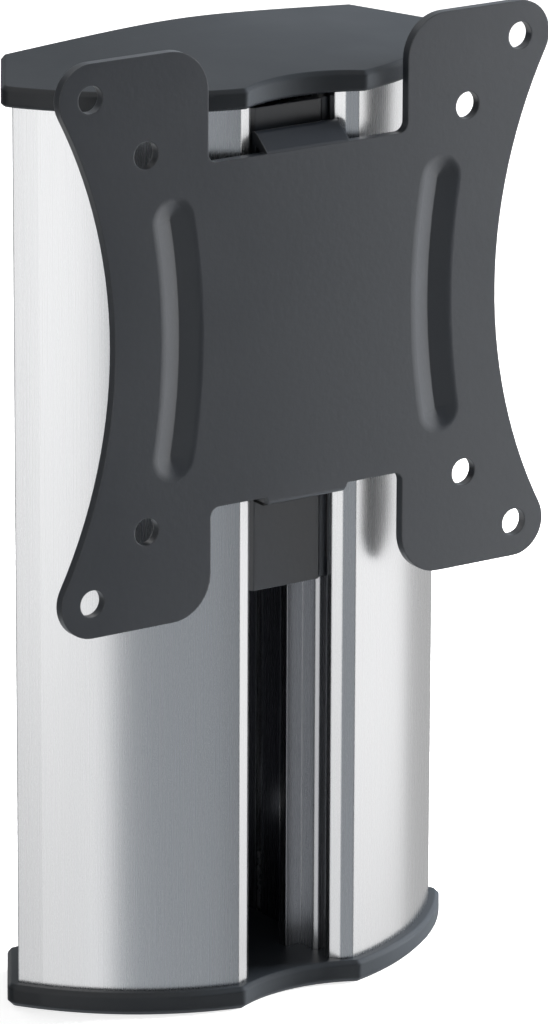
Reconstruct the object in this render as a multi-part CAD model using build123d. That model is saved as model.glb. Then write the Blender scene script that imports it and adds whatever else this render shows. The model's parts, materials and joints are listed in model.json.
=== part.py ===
from build123d import *
import math
import os

# Small wall mount for a flat screen: an extruded aluminium column with a front channel, a carrier
# that slides in the channel for height, and a pressed plate that hooks on the carrier.
# Frame: X across the front, Y towards the wall, Z up. The wall is the plane Y = 0, the front faces
# -Y, and Z = 0 is the middle of the column. All lengths are in millimetres.

# Column extrusion
column_length = 180.0
column_width = 100.0
column_depth = 44.55            # wall to the top of the front curve, were it not cut by the channel
front_radius = 60.0
back_width = 78.0
skin = 2.2
back_wall = 2.5

# Channel down the front of the column
mouth_width = 27.6
lip_width = 22.6                # width between the inner ends of the lips' outer facets
throat_width = 19.6
lip_step = 0.95                 # how far the outer facet falls back
lip_depth = 2.7                 # mouth corner to the throat
groove_width = 25.8
groove_start = 1.65             # throat to the front of the groove
groove_height = 3.4
groove_lead = 0.7               # bevel on the groove's rear edges
inner_rib_depth = 10.2          # throat to the front of the inner ribs
inner_rib = 2.5
rib_slot = 12.2
rear_cavity_width = 26.0

# Screw ports beside the rear cavity, and the holes for the wall screws
port_hole = 3.6
port_boss = 8.0
port_slit = 2.6
port_from_wall = 9.7
wall_hole = 6.5
wall_hole_pitch = 140.0

# End caps
cap_overhang = 2.2
notch_depth = 3.5
cusp_round = 1.5
cap_corner_round = 2.5
top_cap_crest = 7.6             # height of the top cap at the wall
top_cap_rim = 4.0               # height of its front rim
top_cap_bevel = 0.8
rim_bevel = 0.5
cap_wall = 2.0
bottom_cap_height = 4.6
bottom_cap_bevel = 1.0
bottom_rim_bevel = 0.8          # beside the column
plug_height = 6.0
plug_wall = 1.6
plug_clearance = 0.2
cap_screw_major = 3.4
cap_screw_length = 17.0
cap_screw_head = 7.0
cross_length = 3.2              # cross recess in a cap screw
cross_width = 0.8
cross_depth = 1.2
cap_screw_gap = 0.3             # radial, in the cap
cap_screw_sink = 0.2            # head below the cap's underside

# Carrier in the channel
carrier_length = 98.0
carrier_top_gap = 1.8           # carrier to the top cap, at its highest
sheet = 2.0
carrier_face_width = 15.3
carrier_joggle = 0.7
wing_in_groove = 0.7            # groove's front to the wing's front
wing_side_gap = 0.9             # wing's edge to the groove's side
shoe_fit = 0.05                 # wing to its glide shoe
shoe_clearance = 0.15
shoe_side_gap = 0.2
shoe_length = 14.0
shoe_end = 4.0                  # carrier's end to the glide shoe

# Clamps that lock the height
clamp_gap = 2.4                 # hanger bracket's foot to the upper washer
lift_gap = 1.9                  # flange bumper to the lower washer, with the plate lifted
screw_major = 5.0
running_gap = 0.05              # radial, between a screw and its nut
through_gap = 0.35              # radial, between a screw and the carrier
head_gap = 0.1                  # screw head to its washer
clamp_head_width = 9.5
clamp_head_height = 2.75
hex_key = 3.0
hex_depth = 1.8
clamp_screw_length = 20.0
washer_outer = 10.0
washer_thickness = 1.0
nut_width = 22.0
nut_length = 18.0
nut_thickness = 5.0
nut_gap = 0.3

# Screen plate
plate_gap = 1.45                # top of the column's front curve to the plate's front
plate_drop = 43.2               # column's top to the middle of the hole pattern
pattern_large = 100.0
pattern_small = 75.0
plate_hole = 5.5
ear_radius = 7.0
waist_radius = 100.0
ear_corner_radius = 8.7
notch_corner_radius = 2.0
upper_notch_width = 46.6
lower_notch_width = 45.4
upper_notch_floor = 34.0        # from the middle of the pattern
lower_notch_floor = 35.1
bead_place = 29.2               # middle of a bead from the plate's middle line
bead_radius = 135.0
bead_depth = 1.3
bead_slope = 17.0               # of a bead's flanks, in degrees
bead_lip_round = 4.5            # on the front
bead_length = 57.0

# Hook tongue above, tab and flange below, and the bracket that carries the hook
tongue_width = 19.2
tongue_rise = 5.2
flange_front = 4.3              # plate's front to the hook flange
hook_overlap = 4.3
tongue_round = 1.5
tab_drop = 1.9
tab_chamfer = 0.9
tab_round = 1.2
lower_flange_reach = 5.2
bracket_sheet = 1.5
bracket_width = 17.0
lip_gap = 0.45                  # plate's back to the bracket's lip
lip_top_gap = 0.2
bracket_straight = 1.0          # hook flange's end to the bracket's bend
bracket_foot = 14.0
rivet_major = 3.0
rivet_head = 5.6
rivet_head_height = 1.2
rivet_tail = 4.5
rivet_pitch = 8.0
bumper_wall = 1.0
bumper_grip = 1.6
bumper_length = 16.0
bumper_fit = 0.05
bumper_gap = 0.3                # bumper to the carrier's face

# Places worked out from the sizes above
pick = 0.1                      # room for picking corners and edges by their place
bend_inset = math.tan(math.radians(45) / 2)     # how far a 45 degree bend's inside falls short
half_length = column_length / 2
front_centre_y = front_radius - column_depth
sides = {"left": -1, "right": 1}


def front_y(radius, x):
    """Y at x on the front curve of the given radius."""
    return front_centre_y - math.sqrt(radius**2 - x**2)


mouth_y = front_y(front_radius, mouth_width / 2)
side_y = front_y(front_radius, column_width / 2)
throat_y = mouth_y + lip_depth
groove_y = throat_y + groove_start
rib_y = throat_y + inner_rib_depth
cavity_y = rib_y + inner_rib
port_x = rear_cavity_width / 2 + skin
carrier_top = half_length - carrier_top_gap
carrier_bottom = carrier_top - carrier_length
wing_y = groove_y + wing_in_groove
wing_edge = groove_width / 2 - wing_side_gap
face_y = wing_y - carrier_joggle
plate_stand_off = column_depth + plate_gap
plate_z = half_length - plate_drop
plate_place = Pos(0, -plate_stand_off, plate_z)

# Hook and bracket, in the plate's own frame: its front is Y = 0, the hole pattern's middle Z = 0
tongue_slope = math.atan(tongue_rise / (flange_front + sheet))
tongue_underside = sheet / math.cos(tongue_slope)
carrier_face = face_y + plate_stand_off
lip_front = sheet + lip_gap
lip_top = upper_notch_floor + sheet * math.tan(tongue_slope) - tongue_underside - lip_top_gap
hook_end = lip_top - hook_overlap
foot_front = carrier_face - bracket_sheet
foot_top = hook_end - bracket_straight - (foot_front - lip_front)
foot_end = foot_top - bracket_foot
rivet_z = (foot_top + foot_end) / 2
flange_end = -lower_notch_floor - tab_drop
bumper_top = flange_end + sheet + bumper_wall
clamp_heights = {
    "upper": plate_z + foot_end - clamp_gap - washer_outer / 2,
    "lower": plate_z + bumper_top + hook_overlap + lift_gap + washer_outer / 2}

# Half width of a bead, from its depth, the slope of its flanks and the round of its lips
bead_turn = math.radians(bead_slope)
bead_flank = (bead_depth - bead_lip_round * (1 - math.cos(bead_turn))) / math.sin(bead_turn)
bead_half = bead_lip_round * math.sin(bead_turn) + bead_flank * math.cos(bead_turn)


# Shapes that repeat

def rectangle(x0, x1, y0, y1):
    """Rectangle between two x and two y values."""
    return Pos((x0 + x1) / 2, (y0 + y1) / 2) * Rectangle(abs(x1 - x0), y1 - y0)


def mirrored_polygon(points):
    """Face from the points of its right half, mirrored to the left."""
    left = [(-x, y) for x, y in reversed(points)]
    return make_face(Polyline(*points, *left, close=True))


def slab(face, z0, z1):
    """Plan outline as a solid between two heights."""
    return extrude(Pos(0, 0, z0) * face, z1 - z0)


def pressing(face, y0, y1):
    """Front outline in X and Z as a solid between two depths."""
    return extrude(Plane.XZ.offset(-y1) * face, y1 - y0)


def folded(points, width):
    """Side outline in Y and Z as a solid across the middle."""
    return extrude(Plane.YZ * make_face(Polyline(*points, close=True)), width / 2, both=True)


def upright(x, y, z, radius, length):
    """Cylinder along Z that starts at z."""
    return Pos(x, y, z) * Cylinder(radius, length, align=(Align.CENTER, Align.CENTER, Align.MIN))


def bar(x, y, z, radius, length):
    """Cylinder along Y that starts at y."""
    return Pos(x, y, z) * Rot(-90, 0, 0) * Cylinder(
        radius, length, align=(Align.CENTER, Align.CENTER, Align.MIN))


def corners_near(face, points):
    """The face's corners at the given points."""
    def near(vertex):
        return any(math.hypot(vertex.X - x, vertex.Y - y) < pick for x, y in points)
    return face.vertices().filter_by(near)


# Plan outlines

def column_outline():
    """The column's outline without its channel."""
    half_width, half_back = column_width / 2, back_width / 2
    front = ThreePointArc((-half_width, side_y), (0, -column_depth), (half_width, side_y))
    back = Polyline((half_width, side_y), (half_back, 0), (-half_back, 0), (-half_width, side_y))
    return make_face(front + back)


def channel_outline():
    """Mouth with faceted lips, groove for the carrier, slot between the ribs, and rear cavity."""
    half_throat = throat_width / 2
    mouth = mirrored_polygon([
        (mouth_width / 2, -column_depth - lip_depth), (mouth_width / 2, mouth_y),
        (lip_width / 2, mouth_y + lip_step), (half_throat, throat_y), (half_throat, rib_y)])
    groove = rectangle(-groove_width / 2, groove_width / 2, groove_y, groove_y + groove_height)
    slot = rectangle(-rib_slot / 2, rib_slot / 2, rib_y, cavity_y)
    cavity = rectangle(-rear_cavity_width / 2, rear_cavity_width / 2, cavity_y, -back_wall)
    outline = mouth + groove + slot + cavity
    rear = [(side * half_throat, groove_y + groove_height) for side in sides.values()]
    return chamfer(corners_near(outline, rear), groove_lead)


def lobe_outline(side):
    """Hollow of one lobe, between the skin and the channel's wall."""
    inner = offset(column_outline(), -skin, kind=Kind.INTERSECTION)
    beside = rectangle(side * port_x, side * column_width, -column_depth, -back_wall)
    return (inner & beside) - Pos(side * port_x, -port_from_wall) * Circle(port_boss / 2)


def cap_outline():
    """The column's outline grown by the overhang, flat at the wall, with the notch in front."""
    grown = offset(column_outline(), cap_overhang, kind=Kind.INTERSECTION)
    outline = grown & rectangle(-column_width, column_width, -2 * column_depth, 0)
    cusp_y = front_y(front_radius + cap_overhang, mouth_width / 2)
    notch_radius = ((mouth_width / 2)**2 + notch_depth**2) / (2 * notch_depth)
    outline -= Pos(0, cusp_y + notch_depth - notch_radius) * Circle(notch_radius)
    cusps = corners_near(outline, [(-mouth_width / 2, cusp_y), (mouth_width / 2, cusp_y)])
    outline = fillet(cusps, cusp_round)
    ends = outline.vertices().sort_by(Axis.X)
    return fillet([ends[0], ends[-1]], cap_corner_round)


# Column and caps

def column_profile():
    section = column_outline() - channel_outline()
    for side in sides.values():
        port = Pos(side * port_x, -port_from_wall) * Circle(port_hole / 2)
        slit = rectangle(side * rear_cavity_width / 2, side * port_x,
                         -port_from_wall - port_slit / 2, -port_from_wall + port_slit / 2)
        section -= lobe_outline(side) + port + slit
    column = slab(section, -half_length, half_length)
    for end in (-1, 1):
        column -= bar(0, -2 * back_wall, end * wall_hole_pitch / 2, wall_hole / 2, 3 * back_wall)
    return column


def plug_outlines(side):
    """Outside and inside of the thin wall by which a cap reaches into a lobe."""
    outside = offset(lobe_outline(side), -plug_clearance, kind=Kind.INTERSECTION)
    return outside, offset(outside, -plug_wall, kind=Kind.INTERSECTION)


def free_edges(edges):
    """Edges of a cap apart from those at the wall."""
    return edges.filter_by(lambda e: e.center().Y < -pick)


def screw_seat(side):
    """Clearance hole and countersink for a cap screw, from below."""
    x, y, z = side * port_x, -port_from_wall, -half_length - bottom_cap_height
    head = cap_screw_head / 2 + cap_screw_gap
    sink = Pos(x, y, z) * Cone(head, 0, head, align=(Align.CENTER, Align.CENTER, Align.MIN))
    return upright(x, y, z, cap_screw_major / 2 + cap_screw_gap, bottom_cap_height) + sink


def bottom_cap():
    cap = slab(cap_outline(), -half_length - bottom_cap_height, -half_length)
    cap = chamfer(free_edges(cap.edges().group_by(Axis.Z)[0]), bottom_cap_bevel)
    cap = chamfer(free_edges(cap.edges().group_by(Axis.Z)[-1]), bottom_rim_bevel)
    for side in sides.values():
        outside, inside = plug_outlines(side)
        cap += slab(outside - inside, -half_length, plug_height - half_length)
        cap -= screw_seat(side)
    return cap


def cap_screw(side):
    """Countersunk screw with a cross recess."""
    x, y = side * port_x, -port_from_wall
    z = cap_screw_sink - half_length - bottom_cap_height
    radius = cap_screw_head / 2
    head = Pos(x, y, z) * Cone(radius, 0, radius, align=(Align.CENTER, Align.CENTER, Align.MIN))
    screw = head + upright(x, y, z, cap_screw_major / 2, cap_screw_length)
    for turn in (0, 90):
        screw -= Pos(x, y, z) * Rot(0, 0, turn) * Box(cross_length, cross_width, 2 * cross_depth)
    return screw


def roof(outline, depth):
    """Block on the outline whose top slopes down from the wall to an even rim round the front."""
    slope = (top_cap_crest - top_cap_rim) / (front_radius + cap_overhang - front_centre_y)
    height = top_cap_crest + slope * front_centre_y
    cone = Cone(height / slope, 0, height, align=(Align.CENTER, Align.CENTER, Align.MIN))
    block = slab(outline, half_length, half_length + height)
    return block & Pos(0, front_centre_y, half_length - depth) * cone


def top_cap():
    cap = roof(cap_outline(), 0)
    cap = chamfer(free_edges(cap.faces().sort_by(Axis.Z)[-1].edges()), top_cap_bevel)
    cap = chamfer(free_edges(cap.edges().group_by(Axis.Z)[0]), rim_bevel)
    for side in sides.values():
        outside, inside = plug_outlines(side)
        cap += slab(outside - inside, half_length - plug_height, half_length)
        cap -= roof(inside, cap_wall)
    return cap


# Carrier and what it holds

def carrier_plate():
    """Hat section: its face stands forward, its wings run in the column's grooves."""
    bend = sheet * bend_inset
    half_face = carrier_face_width / 2
    foot = half_face + carrier_joggle
    section = mirrored_polygon([
        (half_face, face_y), (foot, wing_y), (wing_edge, wing_y), (wing_edge, wing_y + sheet),
        (foot - bend, wing_y + sheet), (half_face - bend, face_y + sheet)])
    plate = slab(section, carrier_bottom, carrier_top)
    for z in clamp_heights.values():
        plate -= bar(0, face_y, z, screw_major / 2 + through_gap, sheet)
    for side in sides.values():
        hole = bar(side * rivet_pitch / 2, carrier_face, rivet_z, rivet_major / 2, sheet)
        plate -= plate_place * hole
    return plate


def glide_shoe(side, level):
    """Plastic clip over a wing's edge, open to the middle."""
    inner = throat_width / 2 + shoe_fit
    outside = rectangle(inner, groove_width / 2 - shoe_side_gap,
                        groove_y + shoe_clearance, groove_y + groove_height - shoe_clearance)
    wing = rectangle(0, wing_edge + shoe_fit, wing_y - shoe_fit, wing_y + sheet + shoe_fit)
    middle = (carrier_top + carrier_bottom) / 2
    centre = middle + level * (carrier_length / 2 - shoe_end - shoe_length / 2)
    shoe = slab(outside - wing, centre - shoe_length / 2, centre + shoe_length / 2)
    return shoe if side > 0 else mirror(shoe, about=Plane.YZ)


def slot_nut(z):
    """Block behind the inner ribs, with a neck in the slot between them."""
    seat = cavity_y + nut_gap
    back = seat + nut_thickness
    body = rectangle(-nut_width / 2, nut_width / 2, seat, back)
    neck = rectangle(nut_gap - rib_slot / 2, rib_slot / 2 - nut_gap, rib_y + nut_gap, seat)
    nut = slab(body + neck, z - nut_length / 2, z + nut_length / 2)
    return nut - bar(0, rib_y, z, screw_major / 2 + running_gap, back - rib_y)


def clamp_washer(z):
    front = face_y - washer_thickness
    ring = bar(0, front, z, washer_outer / 2, washer_thickness)
    return ring - bar(0, front, z, screw_major / 2 + running_gap, washer_thickness)


def clamp_screw(z):
    """Flat-headed screw with a hexagon socket."""
    seat = face_y - washer_thickness - head_gap
    head = bar(0, seat - clamp_head_height, z, clamp_head_width / 2, clamp_head_height)
    shank = bar(0, seat, z, screw_major / 2, clamp_screw_length)
    key = RegularPolygon(hex_key / 2, 6, major_radius=False)
    socket = Pos(0, seat - clamp_head_height, z) * Rot(-90, 0, 0) * extrude(key, hex_depth)
    return head + shank - socket


def hanger_bracket():
    """Strip riveted to the carrier whose lip stands forward behind the plate."""
    bend = bracket_sheet * bend_inset
    lip_foot, lip_back = hook_end - bracket_straight, lip_front + bracket_sheet
    front = [(foot_front, foot_end), (foot_front, foot_top), (lip_front, lip_foot),
             (lip_front, lip_top)]
    back = [(lip_back, lip_top), (lip_back, lip_foot + bend), (carrier_face, foot_top + bend),
            (carrier_face, foot_end)]
    bracket = folded(front + back, bracket_width)
    for side in sides.values():
        bracket -= bar(side * rivet_pitch / 2, foot_front, rivet_z, rivet_major / 2, bracket_sheet)
    return plate_place * bracket


def hanger_rivet(side):
    x = side * rivet_pitch / 2
    grip = bracket_sheet + sheet
    head = bar(x, foot_front - rivet_head_height, rivet_z, rivet_head / 2, rivet_head_height)
    shank = bar(x, foot_front, rivet_z, rivet_major / 2, grip)
    tail = bar(x, foot_front + grip, rivet_z, rivet_tail / 2, rivet_head_height)
    return plate_place * (head + shank + tail)


# Screen plate

def plate_outline():
    """Butterfly outline from arcs round the corner holes and at the waist, with two notches."""
    hole = pattern_large / 2
    edge = hole + ear_radius
    reach = ear_radius + waist_radius
    waist_x = hole + math.sqrt(reach**2 - hole**2)
    touch = (hole + ear_radius * (waist_x - hole) / reach, hole - ear_radius * hole / reach)
    turn = (math.pi / 2 - math.asin(hole / reach)) / 2
    ear = (hole + ear_radius * math.cos(turn), hole + ear_radius * math.sin(turn))
    corner = (hole, edge)
    lines = []
    for sx in (-1, 1):
        lines.append(ThreePointArc((sx * touch[0], -touch[1]), (sx * (waist_x - waist_radius), 0),
                                   (sx * touch[0], touch[1])))
        for sz in (-1, 1):
            lines.append(ThreePointArc(*[(sx * x, sz * z) for x, z in (touch, ear, corner)]))
    lines += [Line((-hole, sz * edge), (hole, sz * edge)) for sz in (-1, 1)]
    outline = make_face(Wire.combine(lines)[0])
    upper, lower = upper_notch_width / 2, lower_notch_width / 2
    outline -= rectangle(-upper, upper, upper_notch_floor, 2 * edge)
    outline -= rectangle(-lower, lower, -2 * edge, -lower_notch_floor)
    ears = [(s * w, z) for s in (-1, 1) for w, z in ((upper, edge), (lower, -edge))]
    outline = fillet(corners_near(outline, ears), ear_corner_radius)
    floors = [(s * w, z) for s in (-1, 1)
              for w, z in ((upper, upper_notch_floor), (lower, -lower_notch_floor))]
    return fillet(corners_near(outline, floors), notch_corner_radius)


def bead_section(pressed):
    """Right half of a bead's section, or of the flat sheet that it is pressed from."""
    if not pressed:
        return rectangle(0, bead_half, 0, sheet)
    front, back = (0, bead_depth), (0, bead_depth + sheet / math.cos(bead_turn))
    lines = [Line(front, back), Line((bead_half, 0), (bead_half, sheet))]
    for depth, valley in ((0, front), (sheet, back)):
        lip = CenterArc((bead_half, bead_lip_round), bead_lip_round - depth, -90, -bead_slope)
        lines += [lip, Line(valley, lip @ 1)]
    return make_face(Wire.combine(lines)[0])


def bead(side, pressed):
    """Stiffening bead, pressed back from the front along an arc, with rounded ends."""
    centre = Axis((bead_place + bead_radius, 0, 0), (0, 1, 0))
    swing = math.degrees(math.asin((bead_length / 2 - bead_half) / bead_radius))
    half = bead_section(pressed)
    whole = Pos(bead_place) * (half + mirror(half, about=Plane.YZ))
    strip = revolve(whole.rotate(centre, -swing), centre, 2 * swing)
    end = revolve(Pos(bead_place) * half, Axis((bead_place, 0, 0), (0, 1, 0)), 180)
    end = end.rotate(centre, -swing)
    shape = strip + end + mirror(end, about=Plane.XY)
    return shape if side > 0 else mirror(shape, about=Plane.YZ)


def hook_tongue():
    """Tongue that runs back and up from the notch and folds down behind the bracket's lip."""
    floor, back = upper_notch_floor, flange_front + sheet
    rise = math.tan(tongue_slope)
    under = floor - tongue_underside
    tongue = folded([
        (0, floor - 2 * sheet), (0, floor), (back, floor + tongue_rise), (back, hook_end),
        (flange_front, hook_end), (flange_front, under + flange_front * rise),
        (sheet, under + sheet * rise), (sheet, floor - 2 * sheet)], tongue_width)
    bends = tongue.edges().filter_by(Axis.X).filter_by(
        lambda e: e.center().Z > floor - pick and not pick < e.center().Y < back - pick)
    return fillet(bends, tongue_round)


def lower_flange():
    """Tab below the lower notch, folded back towards the carrier."""
    wide, narrow = tongue_width / 2, tongue_width / 2 - tab_chamfer
    tab = pressing(mirrored_polygon([(wide, -lower_notch_floor), (narrow, flange_end)]), 0, sheet)
    shelf = folded([(0, flange_end), (lower_flange_reach, flange_end),
                    (lower_flange_reach, flange_end + sheet), (0, flange_end + sheet)], 2 * narrow)
    flange = tab + shelf
    bend = flange.edges().filter_by(Axis.X).group_by(Axis.Z)[0].sort_by(Axis.Y)[0]
    return fillet(bend, tab_round)


def vesa_plate():
    plate = pressing(plate_outline(), 0, sheet)
    for side in sides.values():
        plate = plate - bead(side, pressed=False) + bead(side, pressed=True)
    plate = plate + hook_tongue() + lower_flange()
    for pattern in (pattern_large, pattern_small):
        for x in (-pattern / 2, pattern / 2):
            for z in (-pattern / 2, pattern / 2):
                plate -= bar(x, -sheet, z, plate_hole / 2, 3 * sheet)
    return plate_place * plate


def flange_bumper():
    """Rubber strip over the end of the lower flange, towards the carrier."""
    start, end = lower_flange_reach - bumper_grip, carrier_face - bumper_gap
    under = flange_end - bumper_wall
    outside = [(start, under), (end, under), (end, bumper_top), (start, bumper_top)]
    reach = lower_flange_reach + bumper_fit
    inside = [(0, flange_end - bumper_fit), (reach, flange_end - bumper_fit),
              (reach, flange_end + sheet + bumper_fit), (0, flange_end + sheet + bumper_fit)]
    return plate_place * (folded(outside, bumper_length) - folded(inside, 2 * bumper_length))


def all_parts():
    parts = {
        "column_profile": column_profile(),
        "top_cap": top_cap(),
        "bottom_cap": bottom_cap(),
        "carrier_plate": carrier_plate(),
        "hanger_bracket": hanger_bracket(),
        "vesa_plate": vesa_plate(),
        "flange_bumper": flange_bumper(),
    }
    for name, side in sides.items():
        parts[f"cap_screw_{name}"] = cap_screw(side)
        parts[f"hanger_rivet_{name}"] = hanger_rivet(side)
        parts[f"glide_shoe_upper_{name}"] = glide_shoe(side, 1)
        parts[f"glide_shoe_lower_{name}"] = glide_shoe(side, -1)
    for name, z in clamp_heights.items():
        parts[f"clamp_screw_{name}"] = clamp_screw(z)
        parts[f"clamp_washer_{name}"] = clamp_washer(z)
        parts[f"slot_nut_{name}"] = slot_nut(z)
    return parts


os.makedirs("parts", exist_ok=True)
for node, solid in all_parts().items():
    export_step(solid, f"parts/{node}.step")
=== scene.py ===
import bpy
import json
import math
from mathutils import Matrix, Vector


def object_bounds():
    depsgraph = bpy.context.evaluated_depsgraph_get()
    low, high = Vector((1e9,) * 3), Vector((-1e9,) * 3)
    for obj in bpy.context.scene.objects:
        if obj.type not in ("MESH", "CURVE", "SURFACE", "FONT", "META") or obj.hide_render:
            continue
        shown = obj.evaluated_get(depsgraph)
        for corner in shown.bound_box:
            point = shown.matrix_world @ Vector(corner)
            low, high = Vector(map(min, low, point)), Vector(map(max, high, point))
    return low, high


# Wall mount for a small flat screen: brushed aluminium column, slate end caps, and a pressed plate
# on a carrier in the column's channel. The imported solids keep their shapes. This script gives them
# materials, a studio and a camera. Lengths are in metres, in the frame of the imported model.

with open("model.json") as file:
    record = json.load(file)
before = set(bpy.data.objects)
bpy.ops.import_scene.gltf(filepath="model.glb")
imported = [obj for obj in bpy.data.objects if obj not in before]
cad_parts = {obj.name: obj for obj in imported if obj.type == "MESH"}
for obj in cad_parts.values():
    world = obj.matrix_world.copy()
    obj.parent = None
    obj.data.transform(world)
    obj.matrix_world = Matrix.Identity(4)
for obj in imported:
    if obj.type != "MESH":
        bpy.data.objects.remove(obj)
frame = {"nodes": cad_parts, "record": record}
cad_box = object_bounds()

MM = 0.001

# Camera of the photograph, fitted to the plate's holes and the column's outline: its place, angles
# in degrees, lens and sensor in millimetres, and the nearest and furthest point that it sees
CAMERA_PLACE = (-750.19 * MM, -1152.98 * MM, 412.21 * MM)
CAMERA_TURN = 33.845
CAMERA_DOWN = 16.854
CAMERA_ROLL = 0.222
LENS = 249.95
SENSOR = 36.0
CLIP_NEAR = 0.05
CLIP_FAR = 20.0

# Detail of soft clouds and of fine grain, and the span in which most noise values lie
CLOUD_DETAIL = 3
GRAIN_DETAIL = 2
NOISE_LOW = 0.3
NOISE_HIGH = 0.7
EDGE_SAMPLES = 6

# Aluminium: noise scales and how far the lines and clouds are drawn out along the extrusion
LINE_SCALE = 3500
LINE_STRETCH = (1, 1, 0.008)
CLOUD_SCALE = 60
CLOUD_STRETCH = (1, 1, 0.4)
ALUMINIUM_TONES = ((0.865, 0.870, 0.880), (0.885, 0.890, 0.900))
ALUMINIUM_ROUGHNESS = (0.262, 0.280)
LINE_DEPTH = 0.0002 * MM
ALUMINIUM_EDGE = 0.45 * MM

# Painted shade in the column's channel, where little light reaches: how far it reaches to each side
# of the middle, where its throat, its cavity behind the ribs and the inside of its back wall begin,
# how soft its borders are, and how much the painted shade darkens the throat and the cavity
CHANNEL_HALF = 13.2 * MM
THROAT_Y = -40.2 * MM
CAVITY_Y = -27.6 * MM
BACK_WALL_Y = -2.0 * MM
BORDER_SOFT = 0.5 * MM
FRONT_SOFT = 2.0 * MM
CHANNEL_PAINTED_SHADE = (0.69, 0.69, 0.70)
CAVITY_PAINTED_SHADE = (0.45, 0.45, 0.47)

# World: light from all round, and the white that the camera, mirrors and glass see
ROOM_LEVEL = 0.10
BACKDROP_LEVEL = 1.0

# Floor: its side, colour and roughness, and its glow, from the near distance to the far one
FLOOR_Z = cad_box[0].z
FLOOR_SIDE = 6.0
FLOOR_COLOUR = (0.8, 0.8, 0.8)
FLOOR_ROUGHNESS = 0.9
GLOW_DISTANCE = (0.2, 0.8)
GLOW_LEVEL = (0.78, 0.98)

# Cards: how far they reach up and down, the heights where some are split, and their tints
REACH = 0.7
LEFT_SPLIT = -0.26
RIGHT_SPLIT = -0.27
REAR_SPLIT = 0.02
WHITE = (1, 1, 1)
COOL = (0.94, 1.0, 1.07)

# Upright cards: name, the two places of the floor plan between which each stands, its lowest and
# highest point, brightness and tint
UPRIGHT_CARDS = (
    ("front_card", (-0.47, -0.50), (0.05, -0.50), -REACH, REACH, 0.285, COOL),
    ("front_right_card", (0.05, -0.50), (0.335, -0.50), -REACH, REACH, 0.05, COOL),
    ("left_card", (-0.70, -0.06), (-0.70, -0.55), LEFT_SPLIT, REACH, 1.08, WHITE),
    ("low_left_card", (-0.70, -0.06), (-0.70, -0.55), -REACH, LEFT_SPLIT, 0.74, WHITE),
    ("low_right_card", (0.335, -0.50), (0.64, 0.02), -REACH, RIGHT_SPLIT, 0.70, WHITE),
    ("rear_left_card", (-0.25, 0.62), (-0.70, -0.05), -REACH, REACH, 0.15, COOL),
    ("rear_right_card", (0.64, 0.03), (0.30, 0.50), -REACH, REAR_SPLIT, 0.44, WHITE),
    ("rear_card", (0.30, 0.50), (-0.25, 0.62), -REACH, REAR_SPLIT, 0.55, WHITE),
    ("rear_right_flag", (0.64, 0.03), (0.30, 0.50), REAR_SPLIT, REACH, 0.55, COOL),
    ("rear_flag", (0.30, 0.50), (-0.25, 0.62), REAR_SPLIT, REACH, 0.40, COOL),
)

# Level cards: name, two opposite corners of the floor plan, height, brightness and tint
LEVEL_CARDS = (
    ("top_flag", (0.1, -0.45), (0.75, 0.2), 0.72, 0.16, COOL),
    ("under_card", (-0.4, -0.4), (0.4, 0.4), -0.35, 0.60, COOL),
)


# Node helpers

def new_material(name):
    """Empty node material with its Principled shader and output."""
    material = bpy.data.materials.new(name)
    material.use_nodes = True
    nodes, links = material.node_tree.nodes, material.node_tree.links
    nodes.clear()
    shader = nodes.new("ShaderNodeBsdfPrincipled")
    output = nodes.new("ShaderNodeOutputMaterial")
    links.new(shader.outputs["BSDF"], output.inputs["Surface"])
    return material, nodes, links, shader


def object_place(nodes, links, scale=(1, 1, 1)):
    """Object coordinates multiplied by scale."""
    place = nodes.new("ShaderNodeTexCoord")
    mapping = nodes.new("ShaderNodeMapping")
    mapping.inputs["Scale"].default_value = scale
    links.new(place.outputs["Object"], mapping.inputs["Vector"])
    return mapping.outputs["Vector"]


def noise(nodes, links, vector, scale, detail):
    """Noise value from 0 to 1."""
    node = nodes.new("ShaderNodeTexNoise")
    node.inputs["Scale"].default_value = scale
    node.inputs["Detail"].default_value = detail
    links.new(vector, node.inputs["Vector"])
    return node.outputs["Fac"]


def between(nodes, links, value, low, high):
    """Noise value spread from low to high."""
    node = nodes.new("ShaderNodeMapRange")
    node.inputs["From Min"].default_value = NOISE_LOW
    node.inputs["From Max"].default_value = NOISE_HIGH
    node.inputs["To Min"].default_value = low
    node.inputs["To Max"].default_value = high
    links.new(value, node.inputs["Value"])
    return node.outputs["Result"]


def rising(nodes, links, value, span, levels=(0, 1)):
    """Value that goes smoothly from the first level to the second over the span."""
    node = nodes.new("ShaderNodeMapRange")
    node.interpolation_type = "SMOOTHSTEP"
    node.inputs["From Min"].default_value = span[0]
    node.inputs["From Max"].default_value = span[1]
    node.inputs["To Min"].default_value = levels[0]
    node.inputs["To Max"].default_value = levels[1]
    links.new(value, node.inputs["Value"])
    return node.outputs["Result"]


def maths(nodes, links, operation, *values):
    """Result of a maths node on the values."""
    node = nodes.new("ShaderNodeMath")
    node.operation = operation
    for value, socket in zip(values, node.inputs):
        links.new(value, socket)
    return node.outputs[0]


def blended(nodes, links, value, first, second):
    """Colour between two colours."""
    node = nodes.new("ShaderNodeMix")
    node.data_type = "RGBA"
    node.inputs["A"].default_value = (*first, 1)
    node.inputs["B"].default_value = (*second, 1)
    links.new(value, node.inputs["Factor"])
    return node.outputs["Result"]


def relief(nodes, links, shader, height, depth, edge):
    """Fine relief of the given depth over edges softened by the given radius."""
    soft = nodes.new("ShaderNodeBevel")
    soft.samples = EDGE_SAMPLES
    soft.inputs["Radius"].default_value = edge
    bump = nodes.new("ShaderNodeBump")
    bump.inputs["Distance"].default_value = depth
    bump.inputs["Strength"].default_value = 1.0
    links.new(soft.outputs["Normal"], bump.inputs["Normal"])
    links.new(height, bump.inputs["Height"])
    links.new(bump.outputs["Normal"], shader.inputs["Normal"])


# Materials

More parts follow.
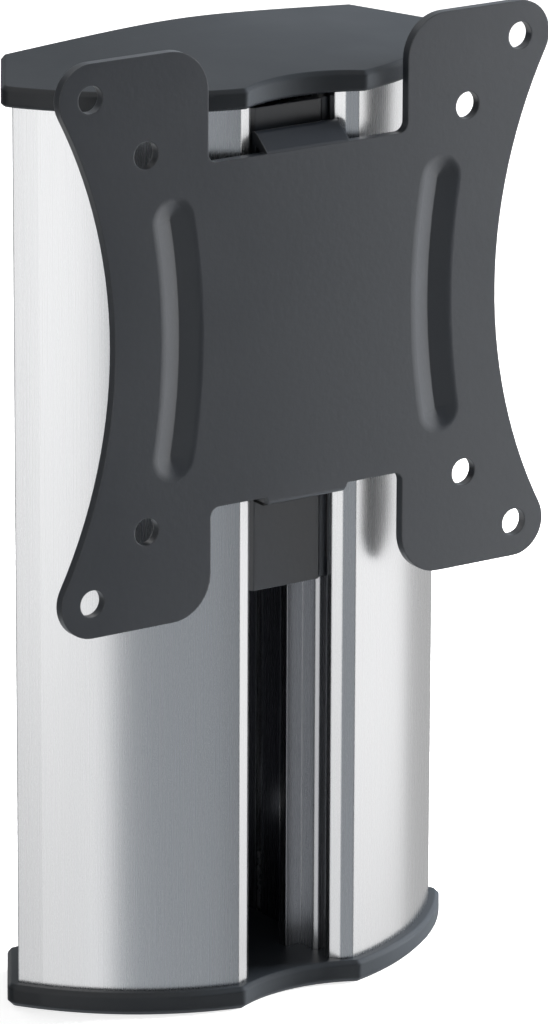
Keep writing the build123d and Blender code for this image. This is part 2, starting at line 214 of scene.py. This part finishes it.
def painted_channel_shade(nodes, links, tint):
    """The tint, darkened with painted shade in the column's channel, where little light reaches."""
    place = nodes.new("ShaderNodeTexCoord")
    split = nodes.new("ShaderNodeSeparateXYZ")
    links.new(place.outputs["Object"], split.inputs["Vector"])
    depth = split.outputs["Y"]
    aside = maths(nodes, links, "ABSOLUTE", split.outputs["X"])
    beside = rising(nodes, links, aside, (CHANNEL_HALF, CHANNEL_HALF + BORDER_SOFT))
    at_back = rising(nodes, links, depth, (BACK_WALL_Y, BACK_WALL_Y + BORDER_SOFT))
    outside = maths(nodes, links, "MAXIMUM", beside, at_back)
    # Painted shade: the throat, and more deeply the cavity behind the ribs, are darkened as if in
    # shadow
    for front, shade in ((THROAT_Y, CHANNEL_PAINTED_SHADE), (CAVITY_Y, CAVITY_PAINTED_SHADE)):
        behind = rising(nodes, links, depth, (front, front + FRONT_SOFT))
        inside = maths(nodes, links, "SUBTRACT", behind, outside)
        inside.node.use_clamp = True
        mix = nodes.new("ShaderNodeMix")
        mix.data_type = "RGBA"
        mix.blend_type = "MULTIPLY"
        mix.inputs["B"].default_value = (*shade, 1)
        links.new(inside, mix.inputs["Factor"])
        links.new(tint, mix.inputs["A"])
        tint = mix.outputs["Result"]
    return tint


def anodised_aluminium():
    """Satin aluminium with fine lines along the extrusion, and painted shade in its channel."""
    material, nodes, links, shader = new_material("anodised_aluminium")
    shader.inputs["Metallic"].default_value = 1.0
    lines = noise(nodes, links, object_place(nodes, links, LINE_STRETCH), LINE_SCALE, GRAIN_DETAIL)
    haze = noise(nodes, links, object_place(nodes, links, CLOUD_STRETCH), CLOUD_SCALE, CLOUD_DETAIL)
    tint = blended(nodes, links, haze, *ALUMINIUM_TONES)
    links.new(painted_channel_shade(nodes, links, tint), shader.inputs["Base Color"])
    links.new(between(nodes, links, lines, *ALUMINIUM_ROUGHNESS), shader.inputs["Roughness"])
    relief(nodes, links, shader, lines, LINE_DEPTH, ALUMINIUM_EDGE)
    return material


def clouded(name, clouds, tones, roughness, depth, edge, grain=None):
    """Material of two tones in soft clouds, with fine relief: its own grain, or else the clouds."""
    material, nodes, links, shader = new_material(name)
    place = object_place(nodes, links)
    haze = noise(nodes, links, place, clouds, CLOUD_DETAIL)
    height = haze if grain is None else noise(nodes, links, place, grain, GRAIN_DETAIL)
    links.new(blended(nodes, links, haze, *tones), shader.inputs["Base Color"])
    links.new(between(nodes, links, haze, *roughness), shader.inputs["Roughness"])
    relief(nodes, links, shader, height, depth, edge)
    return material, shader


def slate_plastic():
    """Moulded plastic with a fine spark-eroded grain."""
    tones = (0.0190, 0.0230, 0.0280), (0.0240, 0.0285, 0.0340)
    material, _ = clouded("slate_plastic", clouds=45, grain=2600, tones=tones,
                          roughness=(0.42, 0.5), depth=0.02 * MM, edge=0.7 * MM)
    return material


def powder_coat():
    """Satin powder coat with its faint orange peel."""
    tones = (0.0180, 0.0218, 0.0285), (0.0210, 0.0250, 0.0320)
    material, shader = clouded("dark_powder_coat", clouds=40, grain=900, tones=tones,
                               roughness=(0.31, 0.36), depth=0.02 * MM, edge=0.35 * MM)
    shader.inputs["IOR"].default_value = 1.6
    shader.inputs["Specular IOR Level"].default_value = 1.0
    return material


def zinc_steel():
    """Bright zinc plate with faint clouding."""
    tones = (0.55, 0.57, 0.60), (0.72, 0.72, 0.70)
    material, shader = clouded("zinc_steel", clouds=700, tones=tones,
                               roughness=(0.22, 0.38), depth=0.01 * MM, edge=0.15 * MM)
    shader.inputs["Metallic"].default_value = 1.0
    return material


def glide_plastic():
    """Smooth dark plastic of the glide shoes."""
    tones = (0.02, 0.02, 0.021), (0.032, 0.032, 0.034)
    material, _ = clouded("glide_plastic", clouds=500, tones=tones,
                          roughness=(0.34, 0.42), depth=0.01 * MM, edge=0.15 * MM)
    return material


def black_rubber():
    """Matt rubber with a fine grain."""
    tones = (0.014, 0.014, 0.014), (0.022, 0.022, 0.022)
    material, _ = clouded("black_rubber", clouds=200, grain=3000, tones=tones,
                          roughness=(0.7, 0.85), depth=0.02 * MM, edge=0.2 * MM)
    return material


def dress_nodes():
    """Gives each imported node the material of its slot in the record."""
    made = {
        "anodised_aluminium": anodised_aluminium(),
        "slate_plastic": slate_plastic(),
        "dark_powder_coat": powder_coat(),
        "zinc_steel": zinc_steel(),
        "glide_plastic": glide_plastic(),
        "black_rubber": black_rubber(),
    }
    for part in frame["record"]["subparts"]:
        node = frame["nodes"][part["node"]]
        for place in node.material_slots:
            place.material = made[part["material_slot"]]


# Studio

def backdrop_ray(nodes, links):
    """One for rays that see the backdrop directly, in a mirror or through glass."""
    path = nodes.new("ShaderNodeLightPath")
    last = path.outputs["Is Camera Ray"]
    for name in ("Is Glossy Ray", "Is Transmission Ray"):
        last = maths(nodes, links, "MAXIMUM", last, path.outputs[name])
    return last


def make_world():
    """Faint light from all round, with a white backdrop where it is seen."""
    world = bpy.data.worlds.new("studio")
    world.use_nodes = True
    nodes, links = world.node_tree.nodes, world.node_tree.links
    nodes.clear()
    output = nodes.new("ShaderNodeOutputWorld")
    mix = nodes.new("ShaderNodeMixShader")
    links.new(backdrop_ray(nodes, links), mix.inputs["Fac"])
    for level, socket in ((ROOM_LEVEL, mix.inputs[1]), (BACKDROP_LEVEL, mix.inputs[2])):
        light = nodes.new("ShaderNodeBackground")
        light.inputs["Color"].default_value = (*WHITE, 1)
        light.inputs["Strength"].default_value = level
        links.new(light.outputs["Background"], socket)
    links.new(mix.outputs["Shader"], output.inputs["Surface"])
    bpy.context.scene.world = world


def flat_stage(name, corners):
    """Four-cornered sheet of the stage, which isn't part of the object."""
    mesh = bpy.data.meshes.new(name)
    mesh.from_pydata(corners, [], [(0, 1, 2, 3)])
    thing = bpy.data.objects.new(name, mesh)
    bpy.context.scene.collection.objects.link(thing)
    return thing


def level_corners(start, end, z):
    """Corners of a level rectangle between two opposite places of the floor plan."""
    (x0, y0), (x1, y1) = start, end
    return [(x0, y0, z), (x1, y0, z), (x1, y1, z), (x0, y1, z)]


def upright_corners(start, end, low, high):
    """Corners of an upright rectangle from one place of the floor plan to another."""
    (x0, y0), (x1, y1) = start, end
    return [(x0, y0, low), (x1, y1, low), (x1, y1, high), (x0, y0, high)]


def make_floor():
    """Pale floor, white to the camera apart from the object's shadow."""
    half = FLOOR_SIDE / 2
    floor = flat_stage("floor", level_corners((-half, -half), (half, half), 0))
    floor.location.z = FLOOR_Z
    floor.visible_glossy = False
    material, nodes, links, shader = new_material("floor")
    shader.inputs["Base Color"].default_value = (*FLOOR_COLOUR, 1)
    shader.inputs["Roughness"].default_value = FLOOR_ROUGHNESS
    shader.inputs["Emission Color"].default_value = (*WHITE, 1)
    place = nodes.new("ShaderNodeTexCoord")
    distance = nodes.new("ShaderNodeVectorMath")
    distance.operation = "LENGTH"
    links.new(place.outputs["Object"], distance.inputs[0])
    glow = rising(nodes, links, distance.outputs["Value"], GLOW_DISTANCE, GLOW_LEVEL)
    seen = maths(nodes, links, "MULTIPLY", backdrop_ray(nodes, links), glow)
    links.new(seen, shader.inputs["Emission Strength"])
    floor.data.materials.append(material)


def make_card(name, corners, level, tint):
    """Card of the given brightness, seen only in reflections."""
    card = flat_stage(name, corners)
    card.visible_camera = False
    card.visible_shadow = False
    card.visible_diffuse = False
    card.visible_transmission = False
    material, _, _, shader = new_material(name)
    shader.inputs["Base Color"].default_value = (0, 0, 0, 1)
    shader.inputs["Specular IOR Level"].default_value = 0.0
    shader.inputs["Emission Color"].default_value = (*tint, 1)
    shader.inputs["Emission Strength"].default_value = level
    card.data.materials.append(material)


def make_lamp(name, azimuth, elevation, distance, width, height, watts):
    """Lamp facing the origin, unseen in reflections: azimuth 0 is in front, 90 on the right."""
    lamp = bpy.data.lights.new(name, "AREA")
    lamp.shape = "RECTANGLE"
    lamp.size = width
    lamp.size_y = height
    lamp.energy = watts
    thing = bpy.data.objects.new(name, lamp)
    bpy.context.scene.collection.objects.link(thing)
    round_angle, up_angle = math.radians(azimuth), math.radians(elevation)
    away = Vector((math.sin(round_angle) * math.cos(up_angle),
                   -math.cos(round_angle) * math.cos(up_angle),
                   math.sin(up_angle)))
    thing.location = away * distance
    thing.rotation_euler = away.to_track_quat("Z", "Y").to_euler()
    thing.visible_glossy = False


def make_camera():
    """Camera at the photograph's viewing angle."""
    data = bpy.data.cameras.new("camera")
    data.sensor_width = SENSOR
    data.lens = LENS
    data.clip_start = CLIP_NEAR
    data.clip_end = CLIP_FAR
    camera = bpy.data.objects.new("camera", data)
    bpy.context.scene.collection.objects.link(camera)
    turn = Matrix.Rotation(math.radians(-CAMERA_TURN), 4, "Z")
    tilt = Matrix.Rotation(math.radians(90 - CAMERA_DOWN), 4, "X")
    roll = Matrix.Rotation(math.radians(CAMERA_ROLL), 4, "Z")
    camera.matrix_world = Matrix.Translation(CAMERA_PLACE) @ turn @ tilt @ roll
    bpy.context.scene.camera = camera


make_camera()
dress_nodes()
make_world()
make_floor()
for name, start, end, low, high, level, tint in UPRIGHT_CARDS:
    make_card(name, upright_corners(start, end, low, high), level, tint)
for name, start, end, z, level, tint in LEVEL_CARDS:
    make_card(name, level_corners(start, end, z), level, tint)
make_lamp("right_box", azimuth=82, elevation=8, distance=0.52, width=0.3, height=0.6, watts=23)
make_lamp("rear_box", azimuth=185, elevation=8, distance=1.2, width=0.8, height=0.8, watts=9)
bpy.context.scene.view_settings.view_transform = "Standard"
